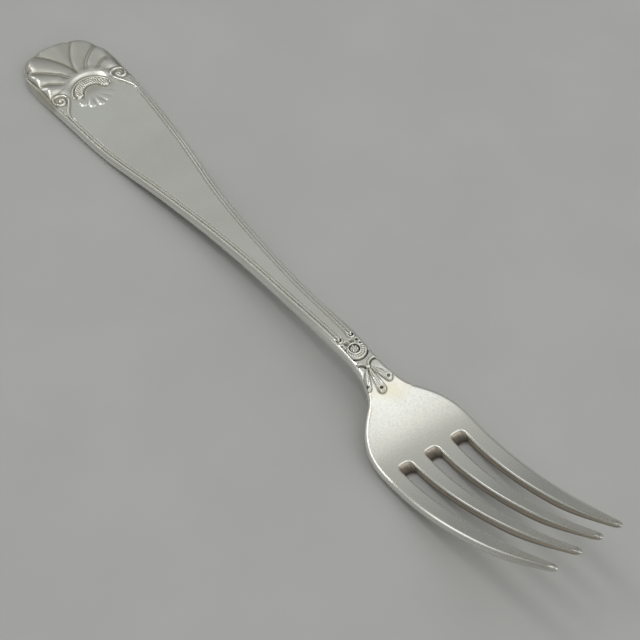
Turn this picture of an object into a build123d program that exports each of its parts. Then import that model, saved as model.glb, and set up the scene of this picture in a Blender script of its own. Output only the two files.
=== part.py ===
from build123d import *
import os
from math import asin, atan2, cos, degrees, radians, sin, sqrt, tan

# Lengths along the fork, one after another from the end of the handle to the tips of the tines
PANEL_TOP_LENGTH = 42.0  # end of the handle to where the panel starts to narrow
PANEL_LENGTH = 18.0
PANEL_FOOT_LENGTH = 20.0
SHANK_LENGTH = 20.0
THROAT_LENGTH = 22.0  # slim end of the handle, up to the neck
WAIST_LENGTH = 9.0  # neck, up to its palmette
HEEL_LENGTH = 7.5  # neck, from there to where it opens into the bowl
SHOULDER_LENGTH = 3.5
CORNER_LENGTH = 5.0
ROOT_LENGTH = 6.2  # rest of the bowl, up to the roots of the slots
BELLY_LENGTH = 4.2  # roots of the slots to the widest place
SPREAD_LENGTH = 24.3
TIP_LENGTH = 18.3
FLAT_LENGTH = 38.0  # stretch of the handle that lies flat on the table

# Widths across the fork
SHELL_WIDTH = 23.5
TERMINAL_WIDTH = 22.3  # where the border starts
PANEL_TOP_WIDTH = 19.6
PANEL_WIDTH = 13.9
PANEL_FOOT_WIDTH = 8.6
SHANK_WIDTH = 6.2
NECK_WIDTH = 5.3
WAIST_WIDTH = 5.1
HEEL_WIDTH = 9.0
SHOULDER_WIDTH = 15.6
CORNER_WIDTH = 23.0
BOWL_WIDTH = 25.4
SPREAD_WIDTH = 22.6
TIP_SPREAD = 17.0  # across the tips of the outer tines
SLOT_WIDTH = 3.2
SLOT_PITCH = 7.05
SLOT_CORNER = 1.0  # rounding of the corners at the root of a slot
TINE_FOOT = 1.5  # how far the tines reach into the bowl, behind the roots of the slots
TIP_WIDTH = 1.6  # of one tine

# Slopes of the edge in plan, as rise over run
TERMINAL_TAPER = 0.06
NECK_TAPER = 0.01
WAIST_FLARE = 0.04
HEEL_FLARE = 0.5
SHOULDER_FLARE = 1.02
CORNER_FLARE = 0.46
SPREAD_TAPER = 0.09
TIP_TAPER = 0.2

# Thickness of the metal, and the rounding of its edges
HANDLE_THICK = 2.0
PANEL_THICK = 2.1
SHANK_THICK = 2.7
NECK_THICK = 3.1
HEEL_THICK = 2.6
BOWL_THICK = 2.3
SPREAD_THICK = 2.3
TIP_THICK = 1.3
FACE_ROUND = 0.3
BACK_ROUND = 0.6

# Side view: heights of the middle of the metal above the table, and its slope in degrees
PANEL_HEIGHT = 2.6
PANEL_SLOPE = 3.6
SHANK_HEIGHT = 5.2
SHANK_SLOPE = 3.4
NECK_HEIGHT = 7.6
NECK_SLOPE = 4.0
HEEL_HEIGHT = 5.1
HEEL_SLOPE = -23.5
SPREAD_HEIGHT = 9.9
SPREAD_SLOPE = 29.0
TIP_HEIGHT = 23.0
TIP_SLOPE = 39.5

# Shell at the end of the handle: lobes round an arch
SHELL_LENGTH = 13.0  # rounded end of the handle
SHELL_FULLNESS = 2.4
NOTCH_TURNS = [17.0, 63.0]  # where the edge is notched, in degrees round the rounded end
NOTCH_DEPTH = 0.7
VALLEYS = [13.5, 38.5, 53.5]  # angles of the valleys between lobes, each side of the middle
VALLEY_WIDTH = 0.25
LOBE_HEIGHT = 0.8
LOBE_FOOT_HEIGHT = 0.35
RIM_LAND = 0.5  # edge left outside the lobes
ARCH_PLACE = 20.0  # end of the handle to the centre of the arch
ARCH_RADIUS = 6.1
ARCH_TUBE = 0.6
ARCH_SPAN = 66.0  # half of the arch, in degrees
ARCH_RELIEF = 0.5

# Crescent inside the arch, and the pendant of drops below it
CRESCENT_GAP = 0.3
CRESCENT_WIDTH = 3.8
CRESCENT_HOLLOW = 3.6  # radius of its hollow side
CRESCENT_TAIL = 1.0  # how far its ends pass the centre of the arch
CRESCENT_HEIGHT = 0.45
DROP_ANGLES = [-48.0, -24.0, 0.0, 24.0, 48.0]
DROP_START = 2.3
DROP_LENGTH = 3.0
DROP_FOOT_WIDTH = 0.5
DROP_WIDTH = 1.4
DROP_HEIGHT = 0.25

# Volutes at the shoulders of the shell
VOLUTE_BACK = 0.6  # centre of the arch back to the centre of a volute
VOLUTE_LAND = 0.87  # edge left outside a volute
VOLUTE_GAP = 0.2  # to the nearest lobe
VOLUTE_RADIUS = 2.0
VOLUTE_WIRE = 0.33
VOLUTE_STEP = 0.43  # how much smaller each half turn is than the last
VOLUTE_RUN = 5.6  # length of the double bend between a volute and the border

# Border along both edges of the handle: an outer roll and an inner thread
ROLL_INSET = 0.15
ROLL_WIDTH = 0.8
ROLL_HEIGHT = 0.3
THREAD_GAP = 0.3
THREAD_WIDTH = 0.4
THREAD_HEIGHT = 0.2

# Ornament on the neck: scrolls that end the threads, a rosette and a palmette
NECK_RELIEF = 0.3
LINE_WIDTH = 0.3  # of the scrolls and of the rosette's rings
SCROLL_PLACE = 1.9  # past the start of the neck
SCROLL_LAND = 0.6
SCROLL_RADIUS = 0.75
ROSETTE_PLACE = 5.2
ROSETTE_LAND = 0.3
ROSETTE_STEP = 0.65  # between its two outer arcs
ROSETTE_OPENING = 0.6  # how far its arcs come back past its centre
FLOWER_PETALS = 6
FLOWER_REACH = 0.49
FLOWER_PETAL_RADIUS = 0.26
FLOWER_EYE_RADIUS = 0.3
FLOWER_GAP = 0.2
PALMETTE_PLACE = 10.2
PALMETTE_SPREAD = 30.0  # angle of the side petals, in degrees
PETAL_START = 1.0
PETAL_LENGTH = 3.4
PETAL_FOOT_WIDTH = 0.5
PETAL_WIDTH = 1.7
PETAL_EYE_RADIUS = 0.3

# Distances from the end of the handle, worked out from the lengths
panel_top_x = PANEL_TOP_LENGTH
panel_x = panel_top_x + PANEL_LENGTH
panel_foot_x = panel_x + PANEL_FOOT_LENGTH
shank_x = panel_foot_x + SHANK_LENGTH
neck_x = shank_x + THROAT_LENGTH
waist_x = neck_x + WAIST_LENGTH
heel_x = waist_x + HEEL_LENGTH
shoulder_x = heel_x + SHOULDER_LENGTH
corner_x = shoulder_x + CORNER_LENGTH
root_x = corner_x + ROOT_LENGTH
foot_x = root_x - TINE_FOOT
belly_x = root_x + BELLY_LENGTH
spread_x = belly_x + SPREAD_LENGTH
length = spread_x + TIP_LENGTH
volute_x = ARCH_PLACE - VOLUTE_BACK
terminal_x = volute_x + VOLUTE_RUN
volute_y = SHELL_WIDTH / 2 - VOLUTE_LAND - VOLUTE_WIRE - VOLUTE_RADIUS
past_tips_x = length + TIP_THICK
reach = 2 * BOWL_WIDTH  # further than anything that is cut across or upright

# The side view as stations: distance, height of the middle of the metal, slope and thickness
stations = [
    (FLAT_LENGTH, HANDLE_THICK / 2, 0.0, HANDLE_THICK),
    (panel_x, PANEL_HEIGHT, PANEL_SLOPE, PANEL_THICK),
    (shank_x, SHANK_HEIGHT, SHANK_SLOPE, SHANK_THICK),
    (neck_x, NECK_HEIGHT, NECK_SLOPE, NECK_THICK),
    (heel_x, HEEL_HEIGHT, HEEL_SLOPE, HEEL_THICK),
    (root_x, BOWL_THICK / 2, 0.0, BOWL_THICK),
    (spread_x, SPREAD_HEIGHT, SPREAD_SLOPE, SPREAD_THICK),
    (length - sin(radians(TIP_SLOPE)) * TIP_THICK / 2, TIP_HEIGHT, TIP_SLOPE, TIP_THICK),
]


def toward(angle):
    """A direction in plan, at an angle in degrees from +X."""
    return Vector(cos(radians(angle)), sin(radians(angle)))


def side_curve(side, lift):
    """The upper face (side 1) or the back (side -1) seen from the side, lifted off the metal: a flat
    line along the handle's end, then a spline through the stations, half the thickness off each."""
    points = []
    slopes = []
    for place, height, slope, thick in stations:
        along = Vector(cos(radians(slope)), 0, sin(radians(slope)))
        across = Vector(-along.Z, 0, along.X)
        points.append(Vector(place, 0, height) + across * side * (thick / 2 + lift))
        slopes.append(along)
    flat = Line((-HANDLE_THICK, 0, points[0].Z), points[0])
    return [flat, Spline(points, tangents=slopes)]


def layer(lower, upper):
    """The space between two side curves, right across the fork and past its edges."""
    ends = [Line(lower[0] @ 0, upper[0] @ 0), Line(lower[1] @ 1, upper[1] @ 1)]
    section = Pos(0, reach / 2, 0) * make_face(lower + upper + ends)
    return extrude(section, amount=reach, dir=(0, -1, 0))


def upright(outline):
    """A plan outline carried straight up through the whole height of the fork."""
    return extrude(Pos(0, 0, -reach) * outline, amount=2 * reach, dir=(0, 0, 1))


def raised(outline, height):
    """Relief of one height on the upper face, with this plan outline."""
    return upright(outline) & layer(side_curve(1, 0), side_curve(1, height))


def strip(start, end):
    """A block right across the fork between two distances from the handle's end."""
    return Pos((start + end) / 2, 0, 0) * Box(end - start, reach, 2 * reach)


def mirrored(shape):
    """The same shape on the other side of the middle line."""
    return mirror(shape, about=Plane.XZ)


def handle_edge(inset):
    """Plan of the handle's long edge on the +Y side, moved in from the true edge by an inset."""
    points = [
        (terminal_x, TERMINAL_WIDTH / 2 - inset),
        (panel_top_x, PANEL_TOP_WIDTH / 2 - inset),
        (panel_x, PANEL_WIDTH / 2 - inset),
        (panel_foot_x, PANEL_FOOT_WIDTH / 2 - inset),
        (shank_x, SHANK_WIDTH / 2 - inset),
        (neck_x, NECK_WIDTH / 2 - inset),
    ]
    return Spline(points, tangents=[(1, -TERMINAL_TAPER), (1, -NECK_TAPER)])


def bowl_edge():
    """Plan of the edge of the neck, the bowl and the outer tine on the +Y side."""
    stops = [
        (neck_x, NECK_WIDTH, -NECK_TAPER),
        (waist_x, WAIST_WIDTH, WAIST_FLARE),
        (heel_x, HEEL_WIDTH, HEEL_FLARE),
        (shoulder_x, SHOULDER_WIDTH, SHOULDER_FLARE),
        (corner_x, CORNER_WIDTH, CORNER_FLARE),
        (belly_x, BOWL_WIDTH, 0),
        (spread_x, SPREAD_WIDTH, -SPREAD_TAPER),
        (length, TIP_SPREAD, -TIP_TAPER),
    ]
    points = [(place, width / 2) for place, width, slope in stops]
    return Spline(points, tangents=[Vector(1, slope).normalized() for place, width, slope in stops])


def shell_point(turn, depth):
    """A point on the rounded end of the handle, from 0 at its middle to 90 degrees at its side,
    moved in from the edge by a depth: a superellipse, fuller at its corners than an ellipse."""
    along = (SHELL_LENGTH - depth) * cos(radians(turn)) ** (2 / SHELL_FULLNESS)
    across = (SHELL_WIDTH / 2 - depth) * sin(radians(turn)) ** (2 / SHELL_FULLNESS)
    return Vector(SHELL_LENGTH - along, across)


# Plan of the whole fork: scallops across the handle's end, a shoulder beside each volute, the edges
# of the handle and of the bowl, closed past the tips
middle_notch = shell_point(NOTCH_TURNS[0], NOTCH_DEPTH)
side_notch = shell_point(NOTCH_TURNS[1], NOTCH_DEPTH)
shoulder = shell_point(90, 0)
terminal = (terminal_x, TERMINAL_WIDTH / 2)
edges = [
    ThreePointArc(middle_notch, shell_point(sum(NOTCH_TURNS) / 2, 0), side_notch),
    ThreePointArc(side_notch, shell_point((NOTCH_TURNS[1] + 90) / 2, 0), shoulder),
    Spline((shoulder, terminal), tangents=[(1, 0), (1, -TERMINAL_TAPER)]),
    handle_edge(0),
    bowl_edge(),
    Line((length, TIP_SPREAD / 2), (past_tips_x, TIP_SPREAD / 2)),
]
edges += [mirrored(edge) for edge in edges]
edges.append(ThreePointArc(middle_notch, (0, 0), (middle_notch.X, -middle_notch.Y)))
edges.append(Line((past_tips_x, TIP_SPREAD / 2), (past_tips_x, -TIP_SPREAD / 2)))
plan = make_face(edges)
blank = upright(plan) & layer(side_curve(-1, 0), side_curve(1, 0))

nodes = {}


def rounded(shape, side, radius):
    """A piece of the blank with the edges of its upper face (side 1) or its back (side -1) rounded,
    apart from the edges where it meets the next piece."""
    faces = [face for face in shape.faces() if face.normal_at().Z * side > 0.5]
    broad = max(faces, key=lambda face: face.area)
    free_edges = []
    for edge in broad.edges():
        if all(abs(edge.center().X - joint) > 0.01 for joint in (neck_x, heel_x, foot_x)):
            free_edges.append(edge)
    return fillet(free_edges, radius)


# Handle, neck and bowl: one thickness of metal, parted where the shape changes
nodes["handle"] = rounded(blank & strip(-reach, neck_x), -1, BACK_ROUND)
for name, start, end in (("neck", neck_x, heel_x), ("bowl", heel_x, foot_x)):
    nodes[name] = rounded(rounded(blank & strip(start, end), -1, BACK_ROUND), 1, FACE_ROUND)


def tine_side(slot_y, outward, tip_y):
    """One side of a tine: its foot, as far as the middle of the slot, then the slot's root with a
    rounded corner, then straight to the tip."""
    wall = slot_y + outward * SLOT_WIDTH / 2
    middle = SLOT_CORNER * (1 - sqrt(0.5))
    corner = ThreePointArc(
        (root_x, wall - outward * SLOT_CORNER),
        (root_x + middle, wall - outward * middle),
        (root_x + SLOT_CORNER, wall),
    )
    foot = Polyline((foot_x, slot_y), (root_x, slot_y), corner @ 0)
    return [foot, corner, Line(corner @ 1, (past_tips_x, tip_y - outward * TIP_WIDTH / 2))]


# Tines: four tapering prongs, parted by three slots, numbered from the -Y side
tip_pitch = (TIP_SPREAD - TIP_WIDTH) / 3
for number in range(4):
    tip_y = (number - 1.5) * tip_pitch
    slot_y = (number - 2) * SLOT_PITCH
    low_side = tine_side(slot_y, 1, tip_y)
    high_side = tine_side(slot_y + SLOT_PITCH, -1, tip_y)
    if number == 0:
        low_side = [Line((foot_x, -BOWL_WIDTH), (past_tips_x, -BOWL_WIDTH))]
    if number == 3:
        high_side = [Line((foot_x, BOWL_WIDTH), (past_tips_x, BOWL_WIDTH))]
    ends = [Line(low_side[0] @ 0, high_side[0] @ 0), Line(low_side[-1] @ 1, high_side[-1] @ 1)]
    nodes[f"tine_{number + 1}"] = blank & upright(make_face(low_side + high_side + ends))

# Shell lobes: rounded lobes that fan out from the arch to the scalloped edge
arch = Vector(ARCH_PLACE, 0)
above = Pos(0, 0, HANDLE_THICK + reach / 2) * Box(4 * reach, reach, reach)


def lobe(low_angle, high_angle):
    """A lobe between two valleys: a round bar that swells to a ball near the edge, sunk until only
    its back shows, with its sides cut by the valleys."""
    out = toward(180 - (low_angle + high_angle) / 2)
    beside = Vector(-out.Y, out.X)
    half = radians((high_angle - low_angle) / 2)
    to_edge = (plan & Line(arch, arch + out * reach)).edges()[0].length
    near = ARCH_RADIUS + ARCH_TUBE + VALLEY_WIDTH
    far = (to_edge - RIM_LAND) / (1 + sin(half))
    balls = []
    for place, height in ((near, LOBE_FOOT_HEIGHT), (far, LOBE_HEIGHT)):
        wide = place * sin(half) - VALLEY_WIDTH / 2
        radius = (wide**2 + height**2) / (2 * height)
        balls.append((arch + out * place + Vector(0, 0, HANDLE_THICK + height - radius), radius))
    (foot, foot_radius), (head, head_radius) = balls
    along = head - foot
    bar = Plane((foot + head) / 2, z_dir=along) * Cone(foot_radius, head_radius, along.length)
    corners = []
    for place, side in ((near, -1), (2 * far, -1), (2 * far, 1), (near, 1)):
        corners.append(arch + out * place + beside * side * (place * tan(half) - VALLEY_WIDTH / 2))
    wedge = upright(make_face(Polyline(*corners, close=True)))
    return (bar + Pos(head) * Sphere(head_radius)) & wedge & above


volute_reach = sqrt(VOLUTE_BACK**2 + volute_y**2)
volute_clear = VOLUTE_RADIUS + VOLUTE_WIRE + VOLUTE_GAP
last_valley = degrees(atan2(volute_y, VOLUTE_BACK) - asin(volute_clear / volute_reach))
side_valleys = VALLEYS + [last_valley]
side_lobes = [lobe(low, high) for low, high in zip(side_valleys, side_valleys[1:])]
nodes["shell_lobes"] = [lobe(-VALLEYS[0], VALLEYS[0])] + side_lobes + [mirrored(one) for one in side_lobes]

# Shell arch: a half-round moulding between the lobes and the crescent
ring = Pos(ARCH_PLACE, 0, HANDLE_THICK + ARCH_RELIEF - ARCH_TUBE) * Torus(ARCH_RADIUS, ARCH_TUBE)
span = [arch + toward(180 + side * ARCH_SPAN) * reach / 4 for side in (-1, 0, 1)]
nodes["shell_arch"] = ring & upright(make_face(Polyline(arch, *span, close=True))) & above

# Shell crescent: a kidney shape inside the arch, hollow on the side of the panel
crescent_radius = ARCH_RADIUS - ARCH_TUBE - CRESCENT_GAP
hollow_x = ARCH_PLACE - crescent_radius + CRESCENT_WIDTH + CRESCENT_HOLLOW
crescent = Pos(ARCH_PLACE, 0) * Circle(crescent_radius) - Pos(hollow_x, 0) * Circle(CRESCENT_HOLLOW)
crescent &= Pos(ARCH_PLACE + CRESCENT_TAIL - reach / 2, 0) * Rectangle(reach, reach)
nodes["shell_crescent"] = raised(crescent, CRESCENT_HEIGHT)


def leaf(start, start_width, end, end_width):
    """Plan of a drop or a petal: the outline round a small circle and a larger one."""
    circles = [Pos(start) * Circle(start_width / 2), Pos(end) * Circle(end_width / 2)]
    return make_hull([edge for circle in circles for edge in circle.edges()])


# Shell pendant: a fan of small drops below the crescent
nodes["shell_pendant"] = []
for angle in DROP_ANGLES:
    start = arch + toward(angle) * DROP_START
    end = start + toward(angle) * DROP_LENGTH
    nodes["shell_pendant"].append(raised(leaf(start, DROP_FOOT_WIDTH, end, DROP_WIDTH), DROP_HEIGHT))

# Volutes: a half-round wire that leaves the border in a double bend and winds in half turns
border_width = ROLL_WIDTH + THREAD_GAP + THREAD_WIDTH
wire_start = Vector(terminal_x, TERMINAL_WIDTH / 2 - ROLL_INSET - border_width / 2)
here = Vector(volute_x, volute_y - VOLUTE_RADIUS)
path = [TangentArc(wire_start, (wire_start + here) / 2, tangent=(-1, 0))]
path.append(TangentArc(path[0] @ 1, here, tangent=path[0] % 1))
for turn in range(4):
    radius = (VOLUTE_RADIUS - turn * VOLUTE_STEP) * (-1) ** turn
    there = here + Vector(0, 2 * radius)
    path.append(ThreePointArc(here, here + Vector(-radius, radius), there))
    here = there
route = Wire([Pos(0, 0, HANDLE_THICK) * edge for edge in path])
volute = sweep(Plane(route @ 0, z_dir=route % 0) * Circle(VOLUTE_WIRE), path=route) & above
nodes["right_volute"] = volute
nodes["left_volute"] = mirrored(volute)


def border_line(inset, width, height):
    """A raised line that follows the handle's edge from the volute to the neck."""
    outer = handle_edge(inset)
    inner = handle_edge(inset + width)
    ends = [Line(outer @ 0, inner @ 0), Line(outer @ 1, inner @ 1)]
    return raised(make_face([outer, inner] + ends), height)


# Borders: the roll and the thread along each edge of the handle
roll = border_line(ROLL_INSET, ROLL_WIDTH, ROLL_HEIGHT)
thread = border_line(ROLL_INSET + ROLL_WIDTH + THREAD_GAP, THREAD_WIDTH, THREAD_HEIGHT)
nodes["right_border"] = [roll, thread]
nodes["left_border"] = [mirrored(roll), mirrored(thread)]


def ring_plan(place, radius):
    """Plan of a thin ring."""
    return Pos(place) * (Circle(radius) - Circle(radius - LINE_WIDTH))


# Neck scrolls: a small ring at the end of each border
scroll_y = NECK_WIDTH / 2 - SCROLL_LAND - SCROLL_RADIUS
scroll = raised(ring_plan((neck_x + SCROLL_PLACE, scroll_y), SCROLL_RADIUS), NECK_RELIEF)
nodes["neck_scrolls"] = [scroll, mirrored(scroll)]

# Neck rosette: a small flower in a ring, with two arcs round its far side
rosette = Vector(neck_x + ROSETTE_PLACE, 0)
flower = Pos(rosette) * Circle(FLOWER_EYE_RADIUS)
for place in PolarLocations(FLOWER_REACH, FLOWER_PETALS):
    flower += Pos(rosette) * place * Circle(FLOWER_PETAL_RADIUS)
flower_ring = ring_plan(rosette, FLOWER_REACH + FLOWER_PETAL_RADIUS + FLOWER_GAP + LINE_WIDTH)
far_side = Pos(rosette.X - ROSETTE_OPENING + reach / 2, 0) * Rectangle(reach, reach)
rosette_radius = NECK_WIDTH / 2 - ROSETTE_LAND
arcs = [ring_plan(rosette, rosette_radius - step * ROSETTE_STEP) & far_side for step in (0, 1)]
nodes["neck_rosette"] = [raised(outline, NECK_RELIEF) for outline in [flower, flower_ring] + arcs]

# Neck palmette: three petals that fan out towards the bowl, each with an eye in its end
palmette = Vector(neck_x + PALMETTE_PLACE, 0)
nodes["neck_palmette"] = []
for angle in (-PALMETTE_SPREAD, 0, PALMETTE_SPREAD):
    start = palmette + toward(angle) * PETAL_START
    end = start + toward(angle) * PETAL_LENGTH
    petal = leaf(start, PETAL_FOOT_WIDTH, end, PETAL_WIDTH) - Pos(end) * Circle(PETAL_EYE_RADIUS)
    nodes["neck_palmette"].append(raised(petal, NECK_RELIEF))

# Each piece goes to its own file, with the origin moved to the middle of the fork's length
os.makedirs("parts", exist_ok=True)
for name, shapes in nodes.items():
    pieces = shapes if isinstance(shapes, list) else [shapes]
    solids = [Pos(-length / 2, 0, 0) * solid for piece in pieces for solid in piece.solids()]
    export_step(Compound(children=solids), f"parts/{name}.step")
    print(name, len(solids), round(sum(solid.volume for solid in solids), 2))
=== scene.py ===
import bpy
import numpy as np
from mathutils import Matrix, Vector


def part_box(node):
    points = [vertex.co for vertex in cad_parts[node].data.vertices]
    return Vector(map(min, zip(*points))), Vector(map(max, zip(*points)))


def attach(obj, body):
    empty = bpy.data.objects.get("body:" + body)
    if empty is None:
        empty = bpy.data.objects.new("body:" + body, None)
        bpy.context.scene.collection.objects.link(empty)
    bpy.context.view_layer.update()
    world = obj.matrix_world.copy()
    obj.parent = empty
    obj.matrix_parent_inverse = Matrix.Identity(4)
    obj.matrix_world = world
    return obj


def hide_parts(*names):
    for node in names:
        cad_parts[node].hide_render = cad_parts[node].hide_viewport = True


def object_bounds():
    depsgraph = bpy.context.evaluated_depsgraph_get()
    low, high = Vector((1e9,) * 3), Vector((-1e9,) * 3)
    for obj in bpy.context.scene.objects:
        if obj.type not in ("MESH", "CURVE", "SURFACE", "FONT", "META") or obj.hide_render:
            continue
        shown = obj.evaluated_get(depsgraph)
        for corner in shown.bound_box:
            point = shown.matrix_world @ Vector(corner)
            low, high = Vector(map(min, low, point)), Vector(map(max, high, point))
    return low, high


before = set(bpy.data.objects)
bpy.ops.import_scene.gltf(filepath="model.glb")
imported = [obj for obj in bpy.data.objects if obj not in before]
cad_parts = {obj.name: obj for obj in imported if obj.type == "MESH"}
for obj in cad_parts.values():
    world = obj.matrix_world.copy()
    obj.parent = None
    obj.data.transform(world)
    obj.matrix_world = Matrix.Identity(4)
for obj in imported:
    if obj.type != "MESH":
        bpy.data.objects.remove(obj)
cad_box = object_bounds()

# Handle: the broad panel and the slim shank of a silver fork. The whole fork is struck in a die from
# one blank of metal, so its pieces run into each other. A raised roll and a thread, left standing by
# the die, follow both edges of the handle.
MM = 0.001
end_x = cad_box[0].x / MM  # all lengths along the fork are in mm from the end of the handle
tip_x = cad_box[1].x / MM - end_x
neck_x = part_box("neck")[0].x / MM - end_x
heel_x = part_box("neck")[1].x / MM - end_x
TINE_FOOT = 1.9  # how far the solid of a tine reaches into the bowl
root_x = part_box("tine_2")[0].x / MM - end_x + TINE_FOOT  # the bottom of the slots
SHELL_JOINT = 28.0  # where the plain stretch of the handle starts

# Plan of the edge: distance, half of the width, slope
edge_stops = [
    (13.0, 11.75, 0.0),
    (25.0, 11.35, -0.06),
    (42.0, 9.98, -0.125),
    (60.0, 7.15, -0.166),
    (80.0, 4.6, -0.092),
    (100.0, 3.35, -0.0375),
    (neck_x, 2.9, -0.01),
    (131.0, 2.85, 0.05),
    (heel_x, 4.85, 0.55),
    (141.6, 7.8, 1.02),
    (146.6, 11.45, 0.44),
    (157.4, 12.63, 0.0),
    (181.7, 11.3, -0.09),
    (tip_x, 8.5, -0.2),
]

# Side view: distance, height of the middle of the metal above the table, slope in degrees, thickness
side_stops = [
    (38.0, 1.0, 0.0, 2.0),
    (60.0, 2.6, 3.6, 2.1),
    (100.0, 5.15, 3.4, 2.5),
    (neck_x, 7.15, 4.0, 3.0),
    (heel_x, 4.95, -23.5, 2.6),
    (root_x, 1.15, 0.0, 2.3),
    (181.7, 9.9, 29.0, 2.3),
    (199.6, 23.0, 39.5, 1.3),
]
middle_stops = [(place, height, np.tan(np.radians(slope))) for place, height, slope, thick in side_stops]
thick_stops = [(place, thick, 0.0) for place, height, slope, thick in side_stops]
LEAN_START = 1.0  # past the bottom of the slots, where the thickness turns square to the bent metal
LEAN_LENGTH = 14.0

# The handle is bowed a little aside by use: distance, how far toward +Y, slope
bow_stops = [(8.0, 0.0, 0.0), (32.0, 0.38, 0.0), (46.0, 0.38, 0.0), (70.0, 0.0, 0.0)]

# Rounding of the upper edges: distance, how far in from the edge it starts, how far it drops
face_rounds = [
    (15.0, 1.6, 1.0),
    (22.0, 1.2, 0.75),
    (110.0, 1.1, 0.7),
    (neck_x, 1.1, 0.34),
    (heel_x, 0.9, 0.36),
    (root_x, 0.4, 0.3),
]
face_run_stops = [(place, run, 0.0) for place, run, drop in face_rounds]
face_drop_stops = [(place, drop, 0.0) for place, run, drop in face_rounds]

# Rounding of the lower edges, which is as wide as it is high: distance, size, slope
back_stops = [
    (15.0, 0.3, 0.0),
    (22.0, 0.9, 0.0),
    (100.0, 0.8, 0.0),
    (neck_x, 0.5, 0.0),
    (root_x, 0.5, 0.0),
]


def through(x, stops):
    """A smooth line through stops of distance, value and slope: between two stops it is the cubic
    with both their values and both their slopes, and past the ends it stays level."""
    place, value, slope = np.array(stops).T
    i = np.clip(np.searchsorted(place, x, side="right") - 1, 0, len(place) - 2)
    run = place[i + 1] - place[i]
    t = np.clip((x - place[i]) / run, 0, 1)
    rise = (3 * t**2 - 2 * t**3) * (value[i + 1] - value[i])
    return value[i] + rise + run * ((t**3 - 2 * t**2 + t) * slope[i] + (t**3 - t**2) * slope[i + 1])


SLOPE_STEP = 0.01


def slope_of(x, stops):
    """Slope of the line through stops: its rise from a small step before to a small step after,
    divided by both steps."""
    return (through(x + SLOPE_STEP, stops) - through(x - SLOPE_STEP, stops)) / (2 * SLOPE_STEP)


def placed(x, y, height):
    """Points in the frame at heights off the middle of the metal: straight up over the handle, the
    neck and the bowl, and square to the bent metal along the tines."""
    rise = slope_of(x, middle_stops)
    cosine = 1 / np.sqrt(1 + rise**2)
    lean_start = root_x + LEAN_START
    square = through(x, [(lean_start, 0, 0), (lean_start + LEAN_LENGTH, 1, 0)])
    up = through(x, middle_stops) + height * (square * cosine + (1 - square) / cosine)
    bowed = y + through(x, bow_stops)
    return np.stack([x - square * rise * cosine * height + end_x, bowed, up], -1) * MM


SLOT_MARK = 1.0  # stands for a depth along the upper rims of the slots
SLOT_FOOT_MARK = 2.0  # and along their lower rims, for the painted shade at the foot of the slot walls


def slab(name, x, y, top, under, recess, joined, overhang=0.0):
    """A closed plate over a plan grid: an upper sheet and a lower sheet at their heights off the
    middle of the metal, and a wall round the rim of the grid, which leans out where the lower sheet
    has an overhang. The depth of recesses is kept on the points for the material, with marks along
    the slots, and the shading is cut where the rim is joined to the next piece."""
    rows, lines = x.shape
    count = rows * lines
    upper = placed(x, y, top).reshape(-1, 3)
    lower = placed(x + overhang, y, under).reshape(-1, 3)
    index = np.arange(count).reshape(rows, lines)
    sheet = np.stack([index[:-1, :-1], index[1:, :-1], index[1:, 1:], index[:-1, 1:]], -1).reshape(-1, 4)
    rim = np.concatenate([index[:-1, 0], index[-1, :-1], index[:0:-1, -1], index[0, :0:-1]])
    after = np.roll(rim, -1)
    wall = np.stack([rim, rim + count, after + count, after], -1)
    quads = np.concatenate([sheet, sheet[:, ::-1] + count, wall])
    mesh = bpy.data.meshes.new(name)
    mesh.from_pydata(np.concatenate([upper, lower]).tolist(), [], quads.tolist())
    mesh.shade_smooth()
    ends = np.zeros(2 * len(mesh.edges), int)
    mesh.edges.foreach_get("vertices", ends)
    cut = np.tile(joined.ravel(), 2)[ends].reshape(-1, 2).all(1)
    mesh.attributes.new("sharp_edge", "BOOLEAN", "EDGE").data.foreach_set("value", cut)
    foot = np.where(recess > SLOT_MARK / 2, SLOT_FOOT_MARK, 0.0)
    kept = np.concatenate([recess.ravel(), foot.ravel()])
    mesh.attributes.new("recess", "FLOAT", "POINT").data.foreach_set("value", kept)
    piece = bpy.data.objects.new(name, mesh)
    bpy.context.scene.collection.objects.link(piece)
    return piece


def rounding(x, inset, run_stops, drop_stops):
    """How far the surface drops near a rim: a parabola that starts a run in from it."""
    share = 1 - np.clip(inset / through(x, run_stops), 0, 1)
    return through(x, drop_stops) * share**2


def face(x, inset):
    """Height of the plain upper face off the middle of the metal: half the thickness, less the
    rounding of the edge."""
    return through(x, thick_stops) / 2 - rounding(x, inset, face_run_stops, face_drop_stops)


def back(x, inset):
    """Height of the back off the middle of the metal: the rounding of the edge, less half the
    thickness."""
    return rounding(x, inset, back_stops, back_stops) - through(x, thick_stops) / 2


WIRE_POWER = 0.7  # for a ridge that is as full as a round wire
BALL_POWER = 0.5


def ridge(offset, half_width, power=1.0):
    """A ridge across its line: 1 on the line, falling as a parabola to 0 at its half width. A power
    under 1 makes it fuller."""
    return np.maximum(1 - (offset / half_width) ** 2, 0) ** power


def recess_of(relief, passes):
    """How deep each point lies below its surroundings: the relief averaged with its neighbours many
    times over, less the relief itself."""
    smooth = relief
    for _ in range(passes):
        wide = np.pad(smooth, 1, mode="edge")
        smooth = (wide[:-2, 1:-1] + wide[2:, 1:-1] + wide[1:-1, :-2] + wide[1:-1, 2:] + 2 * smooth) / 6
    return smooth - relief


ROLL_INSET = 0.8  # edge to the crest of the roll
ROLL_HALF = 0.42
ROLL_HEIGHT = 0.1
THREAD_INSET = 1.66
THREAD_HALF = 0.34
THREAD_HEIGHT = 0.13
GROOVES = [(1.22, 0.18), (2.0, 0.13)]  # inset and depth
GROOVE_HALF = 0.22


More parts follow.
